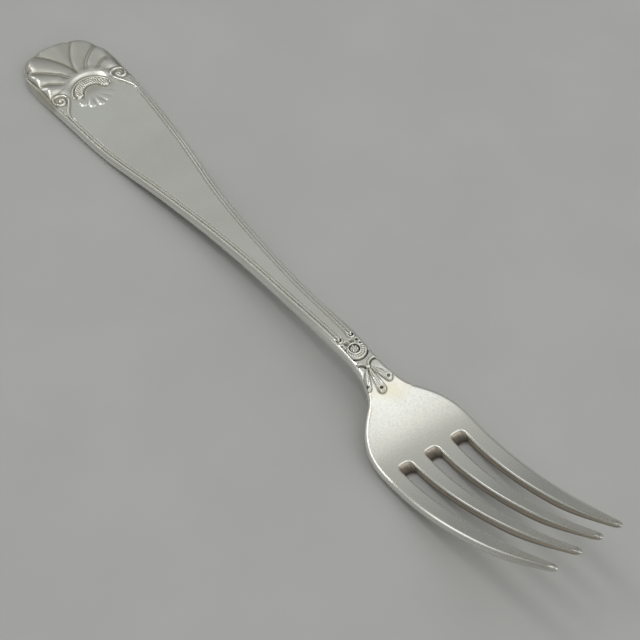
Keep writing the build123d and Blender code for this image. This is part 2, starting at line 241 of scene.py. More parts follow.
def border(inset):
    """Relief of the border by the distance in from the edge: the crest of the rounded roll, a thread,
    and a groove on the inner side of each."""
    roll = ROLL_HEIGHT * ridge(inset - ROLL_INSET, ROLL_HALF, WIRE_POWER)
    thread = THREAD_HEIGHT * ridge(inset - THREAD_INSET, THREAD_HALF, WIRE_POWER)
    grooves = sum(depth * ridge(inset - groove, GROOVE_HALF) for groove, depth in GROOVES)
    return roll + thread - grooves


def round_steps(run, count):
    """Distances in from an edge, close together near it: a run times 1 less the cosine of even steps
    of a quarter turn."""
    return run * (1 - np.cos(np.linspace(0, np.pi / 2, count)))


# Lines across the handle: close together over the border, evenly spaced over the panel
EDGE_RUN = 0.6
EDGE_LINES = 9
BORDER_STEP = 0.06
BORDER_WIDTH = 2.25
PANEL_LINES = 140
HANDLE_ROWS = 150
thread_lines = np.arange(EDGE_RUN + BORDER_STEP, BORDER_WIDTH, BORDER_STEP)
border_lines = np.concatenate([round_steps(EDGE_RUN, EDGE_LINES), thread_lines])


def lines_across(half_width):
    """Places of the lines across the handle for each half width, from the -Y edge to the +Y edge: the
    half width less each inset of the border, with even steps between the two borders."""
    side = half_width[:, None] - border_lines[None, :]
    panel = side[:, -1:] * np.linspace(-1, 1, PANEL_LINES + 2)[None, 1:-1]
    return np.concatenate([-side, panel, side[:, ::-1]], 1)


def joined_rows(x, first, last):
    """Marks the first or the last row of a grid as joined to the next piece."""
    marks = np.zeros(x.shape, bool)
    marks[0] = first
    marks[-1] = last
    return marks


HANDLE_PASSES = 6
HANDLE_TARNISH = 2.1  # by the depth of the recesses
handle_rows = np.linspace(SHELL_JOINT, neck_x, HANDLE_ROWS)
handle_half = through(handle_rows, edge_stops)
handle_y = lines_across(handle_half)
handle_x = np.repeat(handle_rows[:, None], handle_y.shape[1], 1)
handle_inset = handle_half[:, None] - np.abs(handle_y)
handle_relief = border(handle_inset)
handle = slab(
    "handle_metal",
    handle_x,
    handle_y,
    face(handle_x, handle_inset) + handle_relief,
    back(handle_x, handle_inset),
    HANDLE_TARNISH * recess_of(handle_relief, HANDLE_PASSES),
    joined_rows(handle_x, True, True),
)


class Socket:
    """A socket in a material's node tree. Arithmetic on it adds Math nodes to the tree."""

    def __init__(self, tree, socket):
        self.tree = tree
        self.socket = socket

    def node(self, kind, settings, values, output=0):
        """A new node of a kind: its settings come first, then the values or links of its sockets."""
        made = self.tree.nodes.new(kind)
        for setting, value in settings.items():
            setattr(made, setting, value)
        for key, value in values.items():
            if isinstance(value, Socket):
                self.tree.links.new(value.socket, made.inputs[key])
            else:
                made.inputs[key].default_value = value
        return Socket(self.tree, made.outputs[output])

    def math(self, operation, first, second):
        """A Math node that does an operation on two values."""
        return self.node("ShaderNodeMath", {"operation": operation}, {0: first, 1: second})

    def __add__(self, other):
        return self.math("ADD", self, other)

    def __radd__(self, other):
        return self.math("ADD", other, self)

    def __sub__(self, other):
        return self.math("SUBTRACT", self, other)

    def __rsub__(self, other):
        return self.math("SUBTRACT", other, self)

    def __mul__(self, other):
        return self.math("MULTIPLY", self, other)

    def __rmul__(self, other):
        return self.math("MULTIPLY", other, self)

    def between(self, low, high):
        """0 where this value is at most low, 1 where it is at least high, smooth in between."""
        values = {"Value": self, "From Min": low, "From Max": high}
        return self.node("ShaderNodeMapRange", {"interpolation_type": "SMOOTHSTEP"}, values)

    def noise(self, scale, detail=2.0, stretch=(1.0, 1.0, 1.0)):
        """Noise over a place, with its scale in lumps per metre."""
        moved = self.node("ShaderNodeMapping", {}, {"Vector": self, "Scale": stretch})
        return self.node("ShaderNodeTexNoise", {}, {"Vector": moved, "Scale": scale, "Detail": detail})

    def mix(self, low, high):
        """A colour between two others, by this value."""
        return self.node("ShaderNodeMix", {"data_type": "RGBA"}, {0: self, 6: low, 7: high}, 2)

    def feed(self, shader, name):
        """Links this value to a socket of a shader."""
        self.tree.links.new(self.socket, shader.inputs[name])


# Worn silver: clean and bright on the raised places, olive brown tarnish in the recesses and the
# slots, painted shade at the foot of the slot walls, a darker grey over the tines that grows toward
# their tips, fine scratches along the fork and a frosting of small bruises on the heel of the bowl
SILVER = (0.87, 0.875, 0.83, 1.0)
DULL_SILVER = (0.82, 0.82, 0.76, 1.0)
WARM_SILVER = (0.87, 0.86, 0.77, 1.0)
FROST = (0.78, 0.785, 0.75, 1.0)
STAIN = (0.80, 0.75, 0.60, 1.0)
TINE_GREY = (0.64, 0.63, 0.58, 1.0)
TARNISH = (0.26, 0.24, 0.17, 1.0)
PIT_BLACK = (0.05, 0.045, 0.04, 1.0)
SLOT_BROWN = (0.62, 0.56, 0.48, 1.0)
# painted shade at the foot of the slot walls
SLOT_FOOT_SHADE = (0.24, 0.20, 0.165, 1.0)
POLISH = 0.24  # roughness of the clean metal
silver = bpy.data.materials.new("worn_silver")
silver.use_nodes = True
shader = silver.node_tree.nodes["Principled BSDF"]
coordinates = silver.node_tree.nodes.new("ShaderNodeTexCoord")
place = Socket(silver.node_tree, coordinates.outputs["Object"])
along = place.node("ShaderNodeSeparateXYZ", {}, {0: place})
recess = place.node("ShaderNodeAttribute", {"attribute_name": "recess"}, {}, 2)


def along_fork(start, end):
    """0 up to a place along the fork, 1 past another one, both in mm from the end of the handle."""
    return along.between((start + end_x) * MM, (end + end_x) * MM)


clouds = place.noise(scale=110.0, detail=3.0)
blotches = place.noise(scale=210.0).between(0.4, 0.7)
specks = place.noise(scale=2600.0)
scratches = place.noise(scale=5200.0, detail=3.0, stretch=(0.06, 1.0, 1.0))
cross_scratches = place.noise(scale=4200.0, stretch=(1.0, 0.08, 1.0))
on_tines = along_fork(root_x - 2, root_x + 8)
near_tips = along_fork(tip_x - 17, tip_x - 5)
frosted = along_fork(heel_x - 3, heel_x + 4) * (1 - on_tines)
warm = along_fork(heel_x + 5, heel_x + 8) * (1 - on_tines)
by_petals = along_fork(heel_x - 2, heel_x) * (1 - along_fork(heel_x + 1.5, heel_x + 4))
in_slot = recess.between(0.4 * SLOT_MARK, 0.8 * SLOT_MARK)
# Painted shade: the slot walls darken toward their lower rims
painted_slot_foot_shade = recess.between(0.75 * SLOT_FOOT_MARK, SLOT_FOOT_MARK)
tarnish = (recess + clouds * 0.02 - 0.01).between(0.0, 0.10) * (1 - in_slot)
deep = (recess * (0.6 + blotches * 0.9)).between(0.16, 0.34)
dull = (clouds * 0.7 + specks * 0.3).between(0.35, 0.7)

# Each colour is laid over the ones before it
colour = dull.mix(SILVER, DULL_SILVER)
colour = warm.mix(colour, WARM_SILVER)
colour = (frosted * specks.between(0.4, 0.65)).mix(colour, FROST)
colour = (by_petals * clouds.between(0.35, 0.6)).mix(colour, STAIN)
# The tines a darker grey, more so toward their tips
colour = (on_tines * 0.35 + near_tips * 0.6).mix(colour, TINE_GREY)
colour = (tarnish * 0.85).mix(colour, TARNISH)
colour = deep.mix(colour, PIT_BLACK)
# The slot walls are brown with tarnish, going over to painted shade at their foot
colour = in_slot.mix(colour, painted_slot_foot_shade.mix(SLOT_BROWN, SLOT_FOOT_SHADE))
bruises = frosted * (0.05 + specks.between(0.5, 0.75) * 0.1)
roughness = POLISH + dull * 0.05 + tarnish * 0.2 + in_slot * 0.15 + bruises
height = scratches * 0.2 + cross_scratches * 0.08 + specks * (0.03 + frosted * 1.3)
normal = place.node("ShaderNodeBump", {}, {"Height": height, "Strength": 0.25, "Distance": 0.00003})
colour.feed(shader, "Base Color")
roughness.feed(shader, "Roughness")
normal.feed(shader, "Normal")
shader.inputs["Metallic"].default_value = 1.0

handle.data.materials.append(silver)
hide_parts("handle", "right_border", "left_border")
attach(handle, "root")

# Shell: the ornament at the end of the handle, struck in one with it. Lobes fan out to a scalloped
# edge round an arch that holds a crescent and a pendant of drops, and the threads of the border
# curl up into volutes at its shoulders.
SHELL_LENGTH = 13.0
SHELL_FULLNESS = 2.5  # power of the superellipse
NOTCHES = np.radians([18.5, 61.0])  # round the rounded end, from its middle
NOTCH_DEPTH = 0.55
NOTCH_SPREAD = np.radians(5.0)
SHELL_ROWS = 165
RIM_ROWS = 18

shell_half = through(np.array([SHELL_JOINT]), edge_stops)
joint_share = lines_across(shell_half)[0] / shell_half[0]


def shell_outline(turn):
    """The scalloped end in plan, from 0 at its middle to a quarter turn at its side: a superellipse,
    moved in by a sharp notch at each notch angle."""
    steep = np.abs(turn)
    depth = NOTCH_DEPTH * sum(np.exp(-np.abs(steep - notch) / NOTCH_SPREAD) for notch in NOTCHES)
    reach = (SHELL_LENGTH - depth) * np.abs(np.cos(turn)) ** (2 / SHELL_FULLNESS)
    side = (edge_stops[0][1] - depth) * np.sin(steep) ** (2 / SHELL_FULLNESS)
    return SHELL_LENGTH - reach, np.sign(turn) * side


# Rows from the rim to the joint: close together over the rounded edge, then even
outline_x, outline_y = shell_outline(joint_share * np.pi / 2)
line_length = (SHELL_JOINT - outline_x)[None, :]
near_rim = round_steps(face_run_stops[0][1], RIM_ROWS)[:, None] / line_length
inside = near_rim[-1:] + (1 - near_rim[-1:]) * np.linspace(0, 1, SHELL_ROWS)[1:, None]
share = np.concatenate([near_rim, inside])
shell_x = outline_x + share * line_length
outline_share = outline_y / through(outline_x, edge_stops)
shell_y = (outline_share + share * (joint_share - outline_share)) * through(shell_x, edge_stops)

# The die struck the ornament a little askew, so its +Y half lies nearer the end and the edge
ASKEW_ALONG = 0.9
ASKEW_ACROSS = 0.4
askew = through(shell_y, [(-8.0, 0, 0), (9.0, 1, 0)]) * through(shell_x, [(19.5, 1, 0), (27.0, 0, 0)])
struck_x = shell_x + ASKEW_ALONG * askew
struck_y = shell_y - ASKEW_ACROSS * askew
aside = np.abs(struck_y)  # both halves are alike


def distance(x, y, path):
    """Distance in plan from each point to a path of straight steps: the least of the distances to the
    nearest place of each step."""
    nearest = np.full(x.shape, np.inf)
    for (ax, ay), (bx, by) in zip(path[:-1], path[1:]):
        step = max((bx - ax) ** 2 + (by - ay) ** 2, 1e-12)  # never 0
        t = np.clip(((x - ax) * (bx - ax) + (y - ay) * (by - ay)) / step, 0, 1)
        nearest = np.minimum(nearest, np.hypot(x - ax - t * (bx - ax), y - ay - t * (by - ay)))
    return nearest


def arc(centre, radius, start, end, steps=40):
    """Points of an arc in plan, between two angles in degrees from +X."""
    angle = np.radians(np.linspace(start, end, steps))
    return np.stack([centre[0] + radius * np.cos(angle), centre[1] + radius * np.sin(angle)], 1)


def dome(within, run):
    """A rounded shape by the distance inside its outline: a quarter circle that is full at a run in."""
    return np.sqrt(1 - (1 - np.clip(within / run, 0, 1)) ** 2)


# The outline goes on past the joint, so that the inset there is the handle's
PAST_JOINT = 4.0
half_outline = np.stack([outline_x, outline_y], 1)[outline_y >= 0]
side_x = np.linspace(SHELL_LENGTH, SHELL_JOINT + PAST_JOINT, 60)
half_outline = np.concatenate([half_outline, np.stack([side_x, through(side_x, edge_stops)], 1)])
shell_inset = distance(shell_x, np.abs(shell_y), half_outline)

# Arch: the inner edge of the shell's raised ground, which slopes down in a bow round the crescent
ARCH_CENTRE = (21.3, 0.0)
ARCH_RADIUS = 6.7
ARCH_SLOPE = 1.05  # width of the sloping face
ARCH_HEIGHT = 0.52
GROUND_HEIGHT = 0.3
past_arch = np.hypot(struck_x - ARCH_CENTRE[0], struck_y) - ARCH_RADIUS
arch_turn = np.degrees(np.arctan2(aside, ARCH_CENTRE[0] - struck_x))
# Section of the arch: distance past its line, height, slope
arch_stops = [
    (-ARCH_SLOPE, 0, 0.1),
    (0.0, ARCH_HEIGHT - 0.06, 0.4),
    (0.35, ARCH_HEIGHT, 0),
    (2.2, GROUND_HEIGHT, 0),
]
arch = through(past_arch, arch_stops) * through(arch_turn, [(52.0, 1, 0), (76.0, 0, 0)])

# Lobes: fat rounded ribs between valleys that fan out, with a bead in two of the valleys each side
LOBE_CENTRE = (18.5, 0.0)
LOBE_ROOT = 7.6  # from the centre to where the valleys start
LOBE_SWELLS = [0.09, 0.19, 0.3, 0.34]  # height by half width, from the middle lobe
LOBE_START = 0.5  # past the arch
LOBE_RISE = 3.0  # how far out the lobes grow to their height
LOBE_FALL = 2.3  # how far in from the edge the lobes start to fall
BEAD_HALF = 0.34
BEAD_HEIGHT = 0.22
BEAD_POWER = 0.6
END_GROOVE_DEPTH = 0.1
END_GROOVE_HALF = 0.3
from_centre = np.hypot(struck_x - LOBE_CENTRE[0], struck_y)
turn = np.degrees(np.arctan2(aside, LOBE_CENTRE[0] - struck_x))
out = from_centre - LOBE_ROOT
# Each valley's angle in degrees from the middle, by how far out it has come
valleys = [
    np.maximum(3.6 + 1.58 * out, 1.0),
    29.0 + 1.62 * np.maximum(out, 0),
    55.5 + 0.75 * np.maximum(out - 0.9, 0) ** 2,
    np.minimum(78.0 + 4.0 * out, 87.0),
]
lobes = np.zeros(shell_x.shape)
for low, high, swell in zip([-valleys[0]] + valleys[:-1], valleys, LOBE_SWELLS):
    wide = from_centre * np.radians(high - low) / 2
    lobes = np.maximum(lobes, swell * wide * ridge(turn - (low + high) / 2, (high - low) / 2))
for valley in valleys[1:3]:
    across = from_centre * np.radians(turn - valley)
    lobes = np.maximum(lobes, BEAD_HEIGHT * ridge(across, BEAD_HALF, BEAD_POWER))
lobe_end = through(turn, [(38.0, 0.35, 0), (62.0, 1.3, 0)])  # inset of the outer ends of the lobes
lobe_fall = 1 - np.clip((shell_inset - lobe_end) / LOBE_FALL, 0, 1)
lobe_wear = through(struck_y, [(-0.5, 1, 0), (2.5, 0.7, 0)])  # the +Y side is rubbed down
lobes *= lobe_wear * (1 - lobe_fall**2) * dome(past_arch - LOBE_START, LOBE_RISE)
# A fine groove ends the lobes, and is worn away on the +Y side
end_groove = END_GROOVE_DEPTH * ridge(shell_inset - lobe_end, END_GROOVE_HALF) * (past_arch > 2)
end_groove *= through(struck_y, [(-0.5, 1, 0), (2.5, 0, 0)])

# Crescent: a kidney shape below the arch, with a worn cross-hatched ground, a knob on each end and a
# thin bead round its outer side
CRESCENT_RADIUS = 3.75
CRESCENT_HALF = 1.1
CRESCENT_HEIGHT = 0.32
CRESCENT_ROUND = 0.4
HATCH = 1.15  # between the hatched lines
HATCH_HEIGHT = 0.24
MOAT_GAP = 0.12  # from the edge of the crescent to the groove round it
MOAT_DEPTH = 0.14
MOAT_HALF = 0.26
RIM_BEAD_RADIUS = 5.2
RIM_BEAD_HEIGHT = 0.2
RIM_BEAD_HALF = 0.24
KNOB = (20.8, 3.95)
KNOB_HALF = 0.7
KNOB_HEIGHT = 0.42
crescent_off = distance(struck_x, aside, arc(ARCH_CENTRE, CRESCENT_RADIUS, 180, 108))
rim_bead_off = distance(struck_x, aside, arc(ARCH_CENTRE, RIM_BEAD_RADIUS, 180, 100))
crescent_bead = RIM_BEAD_HEIGHT * ridge(rim_bead_off, RIM_BEAD_HALF)
hatch = np.cos(2 * np.pi * (shell_x + shell_y) / HATCH) * np.cos(2 * np.pi * (shell_x - shell_y) / HATCH)
crescent = (CRESCENT_HEIGHT + HATCH_HEIGHT * hatch) * dome(CRESCENT_HALF - crescent_off, CRESCENT_ROUND)
crescent_groove = MOAT_DEPTH * ridge(crescent_off - CRESCENT_HALF - MOAT_GAP, MOAT_HALF)
knob = KNOB_HEIGHT * ridge(np.hypot(struck_x - KNOB[0], aside - KNOB[1]), KNOB_HALF, BALL_POWER)


def leaf(x, y, start, end, start_half, end_half):
    """How far each point lies inside a drop or a petal in plan: the half width at the nearest place
    of its middle line, which grows from start to end, less the distance to that place."""
    run = np.subtract(end, start)
    t = np.clip(((x - start[0]) * run[0] + (y - start[1]) * run[1]) / (run @ run), 0, 1)
    away = np.hypot(x - start[0] - t * run[0], y - start[1] - t * run[1])
    return start_half + (end_half - start_half) * t - away


# Pendant: five drops below the crescent, set a little toward -Y
PENDANT_CENTRE = np.array([20.2, 0.0])
PENDANT_SHIFT = 0.4
DROP_TURNS = [0.0, 27.0, 52.0]
DROP_START = 2.2
DROP_END = 5.0
DROP_START_HALF = 0.3
DROP_END_HALF = 0.95
DROP_HEIGHT = 0.24
from_pendant = np.hypot(shell_x - PENDANT_CENTRE[0], shell_y)
drop_height = through(from_pendant, [(2.5, 0.08, 0), (DROP_END, DROP_HEIGHT, 0)])
drop_aside = np.abs(shell_y + PENDANT_SHIFT)
drop_wear = through(shell_y, [(-0.5, 1, 0), (2.5, 0.35, 0)])  # the +Y side is rubbed down
drops = np.zeros(shell_x.shape)
for angle in np.radians(DROP_TURNS):
    way = np.array([np.cos(angle), np.sin(angle)])
    start = PENDANT_CENTRE + DROP_START * way
    end = PENDANT_CENTRE + DROP_END * way
    within = leaf(shell_x, drop_aside, start, end, DROP_START_HALF, DROP_END_HALF)
    drops = np.maximum(drops, drop_wear * drop_height * dome(within, DROP_END_HALF))

# Volutes: the thread leaves the edge, swings in and winds up round a small ball
VOLUTE_CENTRE = (19.5, 8.6)
VOLUTE_TURNS = 1.2
VOLUTE_START = np.radians(-70.0)
VOLUTE_RADIUS = 2.1
WIRE_HEIGHT = 0.4
WIRE_HALF = 0.4
BALL_HEIGHT = 0.3
BALL_HALF = 0.45
wind = np.linspace(0, VOLUTE_TURNS, 70)
wind_angle = VOLUTE_START - 2 * np.pi * wind
wind_radius = VOLUTE_RADIUS - 0.25 * wind - 0.95 * wind**2  # it closes in faster and faster
spiral_x = VOLUTE_CENTRE[0] + wind_radius * np.cos(wind_angle)
spiral_y = VOLUTE_CENTRE[1] + wind_radius * np.sin(wind_angle)
lead_x = np.linspace(32.0, 25.5, 12)
lead_y = through(lead_x, edge_stops) - THREAD_INSET
bend = np.array(
    [(24.6, 9.4), (23.9, 9.1), (23.3, 8.7), (22.6, 8.2), (22.0, 7.75), (21.3, 7.28), (20.65, 6.87)]
)
wire = np.concatenate([np.stack([lead_x, lead_y], 1), bend, np.stack([spiral_x, spiral_y], 1)])
wire_off = distance(struck_x, aside, wire)
wire_height = through(shell_x, [(23.0, WIRE_HEIGHT, 0), (SHELL_JOINT, THREAD_HEIGHT, 0)])
wire_half = through(shell_x, [(23.0, WIRE_HALF, 0), (SHELL_JOINT, THREAD_HALF, 0)])
volute = wire_height * ridge(wire_off, wire_half, WIRE_POWER)
from_ball = np.hypot(struck_x - VOLUTE_CENTRE[0], aside - VOLUTE_CENTRE[1])
ball = BALL_HEIGHT * ridge(from_ball, BALL_HALF, BALL_POWER)

# The roll and the grooves of the border fade out beside the volutes
GROOVE_FADES = [(20.0, 23.0), (25.0, 27.5)]
roll_fade = through(shell_x, [(17.0, 0, 0), (22.0, 1, 0)])
roll = ROLL_HEIGHT * ridge(shell_inset - ROLL_INSET, ROLL_HALF, WIRE_POWER) * roll_fade
grooves = np.zeros(shell_x.shape)
for (groove, depth), (fade_start, fade_end) in zip(GROOVES, GROOVE_FADES):
    fade = through(shell_x, [(fade_start, 0, 0), (fade_end, 1, 0)])
    grooves += fade * depth * ridge(shell_inset - groove, GROOVE_HALF)
raised = np.stack([arch + lobes, crescent, crescent_bead, knob, volute, ball, roll]).max(0)
grooves = grooves + crescent_groove + end_groove
shell_relief = np.maximum(raised, drops) - grooves

# A thin film dulls the shell but for the crest of its arch, and a band inside the edge at both sides
FILM_DEPTH = 0.045
SIDE_FILM_DEPTH = 0.03
SHELL_TARNISH = 0.8
ORNAMENT_PASSES = 10
shell_film = FILM_DEPTH * through(shell_x, [(20.0, 1, 0), (23.0, 0, 0)])
shell_film *= 1 - ridge(past_arch + 0.35, 1.0)
at_sides = through(turn, [(58.0, 0, 0), (68.0, 1, 0)])
shell_film += SIDE_FILM_DEPTH * ridge(shell_inset - 0.95, 0.7) * at_sides
shell_end = slab(
    "shell_end",
    shell_x,
    shell_y,
    face(shell_x, shell_inset) + shell_relief,
    back(shell_x, shell_inset),
    SHELL_TARNISH * recess_of(raised - grooves, ORNAMENT_PASSES) + shell_film,
    joined_rows(shell_x, False, True),
)
shell_end.data.materials.append(silver)
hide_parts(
    "shell_lobes", "shell_arch", "shell_crescent", "shell_pendant", "right_volute", "left_volute"
)
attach(shell_end, "root")

# Bowl: the shoulders and the dished root of the tines, hammered out of the same blank. Three slots
# with rounded bottoms are sawn into its end.
SLOT_WIDTH = 3.2
SLOT_PITCH = 7.05
SLOT_CORNER = 1.0
BOWL_ROWS = 72
DISH = 0.4  # how far the edges stand above the middle
TINE_ROUND = 0.3
TINE_LINES = 14
TINE_ROUND_LINES = 6
SLOT_LINES = 15
slot_end_x = root_x + SLOT_CORNER  # from here on the tines stand apart
heel_joint = heel_x + 1.6  # past the ends of the petals on the neck
end_half = float(through(np.array(slot_end_x), edge_stops))
slots = np.array([-1, 0, 1]) * SLOT_PITCH
walls = np.sort(np.concatenate([[-end_half, end_half], slots - SLOT_WIDTH / 2, slots + SLOT_WIDTH / 2]))
tine_insets = round_steps(TINE_ROUND, TINE_ROUND_LINES)


def tine_lines(low, high):
    """Lines along a tine between its two sides: close together over their rounding."""
    inner = np.linspace(low + TINE_ROUND, high - TINE_ROUND, TINE_LINES)[1:-1]
    return np.concatenate([low + tine_insets, inner, high - tine_insets[::-1]])


# Lines along the bowl: those of the tines, and between them those that end at the slots
NEAR = 1e-6
bands = [tine_lines(low, high) for low, high in walls.reshape(4, 2)]
slot_lines = SLOT_WIDTH / 2 * np.sin(np.linspace(-np.pi / 2, np.pi / 2, SLOT_LINES))[1:-1]
bowl_lines = bands[0]
for slot, next_band in zip(slots, bands[1:]):
    bowl_lines = np.concatenate([bowl_lines, slot + slot_lines, next_band])
past_low = bowl_lines[:, None] >= walls[::2] - NEAR
in_tine = (past_low & (bowl_lines[:, None] <= walls[1::2] + NEAR)).any(1)
nearest_slot = slots[np.abs(bowl_lines[:, None] - slots).argmin(1)]
past_corner = np.abs(bowl_lines - nearest_slot) - (SLOT_WIDTH / 2 - SLOT_CORNER)
corner = SLOT_CORNER - np.sqrt(np.maximum(SLOT_CORNER**2 - np.maximum(past_corner, 0) ** 2, 0))
bowl_end = root_x + np.where(in_tine, SLOT_CORNER, np.minimum(corner, SLOT_CORNER))

# Rows across the bowl, closer and closer over the last share of it
LAST_SHARE = 0.035
LAST_ROWS = 9
last_rows = 1 - LAST_SHARE * np.cos(np.linspace(0, np.pi / 2, LAST_ROWS))[1:]
row_share = np.concatenate([np.linspace(0, 1 - LAST_SHARE, BOWL_ROWS), last_rows])
bowl_x = heel_joint + row_share[:, None] * (bowl_end - heel_joint)
bowl_half = through(bowl_x, edge_stops)
fanned_y = bowl_half * bowl_lines / end_half
# The lines come to their places beside the slots before they reach them
SETTLE_START = 148.0
SETTLE_BEFORE = 0.5  # the bottom of the slots
inner_lines = np.abs(bowl_lines) < end_half - TINE_ROUND - 0.01
settle = through(bowl_x, [(SETTLE_START, 0, 0), (root_x - SETTLE_BEFORE, 1, 0)]) * inner_lines
bowl_y = fanned_y + settle * (bowl_lines - fanned_y)
edge_inset = (bowl_half - np.abs(bowl_y)) / np.sqrt(1 + slope_of(bowl_x, edge_stops) ** 2)
slot_side = np.maximum(np.abs(bowl_y - nearest_slot) - (SLOT_WIDTH / 2 - SLOT_CORNER), 0)
slot_inset = np.hypot(slot_side, np.maximum(slot_end_x - bowl_x, 0)) - SLOT_CORNER
bowl_inset = np.maximum(np.minimum(edge_inset, slot_inset), 0)


def dish(x, y):
    """How far the metal rises toward the edges of the bowl and of the tines: with the square of the
    distance from the middle line, starting at the heel and easing off along the tines."""
    amount = through(x, [(heel_x, 0, 0), (149.0, DISH, 0), (160.0, DISH, 0), (185.0, 0.15, 0)])
    return amount * (y / through(x, edge_stops)) ** 2


# The outer edges of the bowl and the tines are rounded more than the slots: distance, size, slope
outer_run_stops = [(heel_x, 0.9, 0.0), (150.0, 0.9, 0.0)]
outer_drop_stops = [(heel_x, 0.36, 0.0), (150.0, 0.55, 0.0)]
outer_back_stops = [(heel_x, 0.5, 0.0), (150.0, 1.2, 0.0), (180.0, 1.2, 0.0), (tip_x, 0.5, 0.0)]


def rounded_faces(x, edge_inset, inset):
    """Heights of the upper face and of the back off the middle of the metal: the plain ones, cut down
    by a wider rounding along the outer edge."""
    half = through(x, thick_stops) / 2
    upper = half - rounding(x, edge_inset, outer_run_stops, outer_drop_stops)
    lower = rounding(x, edge_inset, outer_back_stops, outer_back_stops) - half
    return np.minimum(face(x, inset), upper), np.maximum(back(x, inset), lower)


# The bottoms of the slots are filed to a slope
SLOT_SLOPE = 1.9
bowl_overhang = np.zeros(bowl_x.shape)
bowl_overhang[-1] = np.where(in_tine, 0, SLOT_SLOPE)
bowl_recess = np.zeros(bowl_x.shape)
bowl_recess[-1] = np.where(in_tine, 0, SLOT_MARK)
bowl_joined = joined_rows(bowl_x, True, True)
bowl_joined[-1] = in_tine
bowl_rise = dish(bowl_x, bowl_y)
bowl_face, bowl_back = rounded_faces(bowl_x, np.maximum(edge_inset, 0), bowl_inset)
bowl = slab(
    "bowl_metal",
    bowl_x,
    bowl_y,
    bowl_face + bowl_rise,
    bowl_back + bowl_rise,
    bowl_recess,
    bowl_joined,
    bowl_overhang,
)
bowl.data.materials.append(silver)
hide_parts("bowl")
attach(bowl, "root")

# Neck: the narrow bend between the handle and the bowl, struck with two scrolls that end the threads,
# a rosette with arcs round it and a palmette of three petals.
NECK_ROWS = 205
neck_rows = np.linspace(neck_x, heel_joint, NECK_ROWS)
neck_half = through(neck_rows, edge_stops)[:, None]
neck_y = neck_half * bowl_lines / end_half
neck_x_grid = np.repeat(neck_rows[:, None], neck_y.shape[1], 1)
neck_inset = neck_half - np.abs(neck_y)
# The die struck the ornament a little askew, further and further off the middle line
askew = through(neck_x_grid, [(124.0, -0.1, 0), (132.0, -0.5, -0.06), (heel_x, -0.9, -0.06)])
across = neck_y - askew
aside = np.abs(across)


def line(path, height, half_width):
    """A raised line on the neck, the same on both sides of the middle: a ridge by the distance to a
    path, as full as a wire."""
    return height * ridge(distance(neck_x_grid, aside, path), half_width, WIRE_POWER)


def from_spot(centre):
    """Distance in plan from a spot on the neck, the same on both sides of the middle."""
    return np.hypot(neck_x_grid - centre[0], aside - centre[1])


# Scrolls: each thread curls round a pit, and a smaller curl starts the rosette's outer arc
SCROLL = (neck_x + 1.4, 1.6)
SCROLL_RADIUS = 0.8
SCROLL_BALL_HEIGHT = 0.36
SCROLL_BALL_HALF = 0.34
SCROLL_PIT_RADIUS = 0.5  # a ring round the ball, open toward the handle
SCROLL_PIT_DEPTH = 0.24
SCROLL_PIT_HALF = 0.22
CURL = (neck_x + 4.4, 2.1)
CURL_RADIUS = 0.55
scroll = line(arc(SCROLL, SCROLL_RADIUS, -120, 120), height=0.4, half_width=0.24)
scroll_ball = SCROLL_BALL_HEIGHT * ridge(from_spot(SCROLL), SCROLL_BALL_HALF, BALL_POWER)
curl = line(arc(CURL, CURL_RADIUS, 230, -60), height=0.38, half_width=0.22)
pits = SCROLL_PIT_DEPTH * ridge(from_spot(SCROLL) - SCROLL_PIT_RADIUS, SCROLL_PIT_HALF)
pits *= neck_x_grid > SCROLL[0] - 0.3
# Round pits in the curl, and between it, the scroll and the rosette: place, depth, half width
for spot, depth, half_width in (
    (CURL, 0.24, 0.3),
    ((neck_x + 3.0, 0.75), 0.34, 0.62),
    ((neck_x + 3.1, 1.95), 0.24, 0.4),
):
    pits += depth * ridge(from_spot(spot), half_width)

# Rosette: a flower of six petals in a ring, a hatched band and an outer arc
ROSETTE = (neck_x + 5.1, 0.0)
FLOWER_PETALS = 6
FLOWER_RADIUS = 0.78
FLOWER_WAVE = 0.26
FLOWER_HEIGHT = 0.45
HEART_RADIUS = 0.36  # of a groove inside the flower
HEART_DEPTH = 0.2
HEART_HALF = 0.16
RING_RADIUS = 1.42
RING_HEIGHT = 0.36
RING_HALF = 0.26
BAND_RADIUS = 1.98
BAND_HALF = 0.36
BAND_HEIGHT = 0.2
BAND_POWER = 0.4
STROKE_HEIGHT = 0.08
STROKES = 22
OUTER_RADIUS = 2.6
ROSETTE_PIT_DEPTH = 0.2
INNER_PIT_RADIUS = 1.08
INNER_PIT_HALF = 0.2
OUTER_PIT_RADIUS = 3.0
OUTER_PIT_HALF = 0.22
from_rosette = np.hypot(neck_x_grid - ROSETTE[0], across)
rosette_turn = np.arctan2(across, neck_x_grid - ROSETTE[0])
flower_outline = FLOWER_RADIUS + FLOWER_WAVE * np.cos(FLOWER_PETALS * rosette_turn)
flower = FLOWER_HEIGHT * ridge(from_rosette, flower_outline, BALL_POWER)
flower -= HEART_DEPTH * ridge(from_rosette - HEART_RADIUS, HEART_HALF)
ring = RING_HEIGHT * ridge(from_rosette - RING_RADIUS, RING_HALF, WIRE_POWER)
far_side = through(neck_x_grid, [(ROSETTE[0] - 0.2, 0, 0), (ROSETTE[0] + 0.4, 1, 0)])
strokes = BAND_HEIGHT + STROKE_HEIGHT * np.cos(STROKES * rosette_turn)
band = strokes * ridge(from_rosette - BAND_RADIUS, BAND_HALF, BAND_POWER) * far_side
outer_arc = line(arc(ROSETTE, OUTER_RADIUS, 0, 102), height=0.44, half_width=0.28)
pits += ROSETTE_PIT_DEPTH * ridge(from_rosette - OUTER_PIT_RADIUS, OUTER_PIT_HALF) * far_side
pits += ROSETTE_PIT_DEPTH * ridge(from_rosette - INNER_PIT_RADIUS, INNER_PIT_HALF)

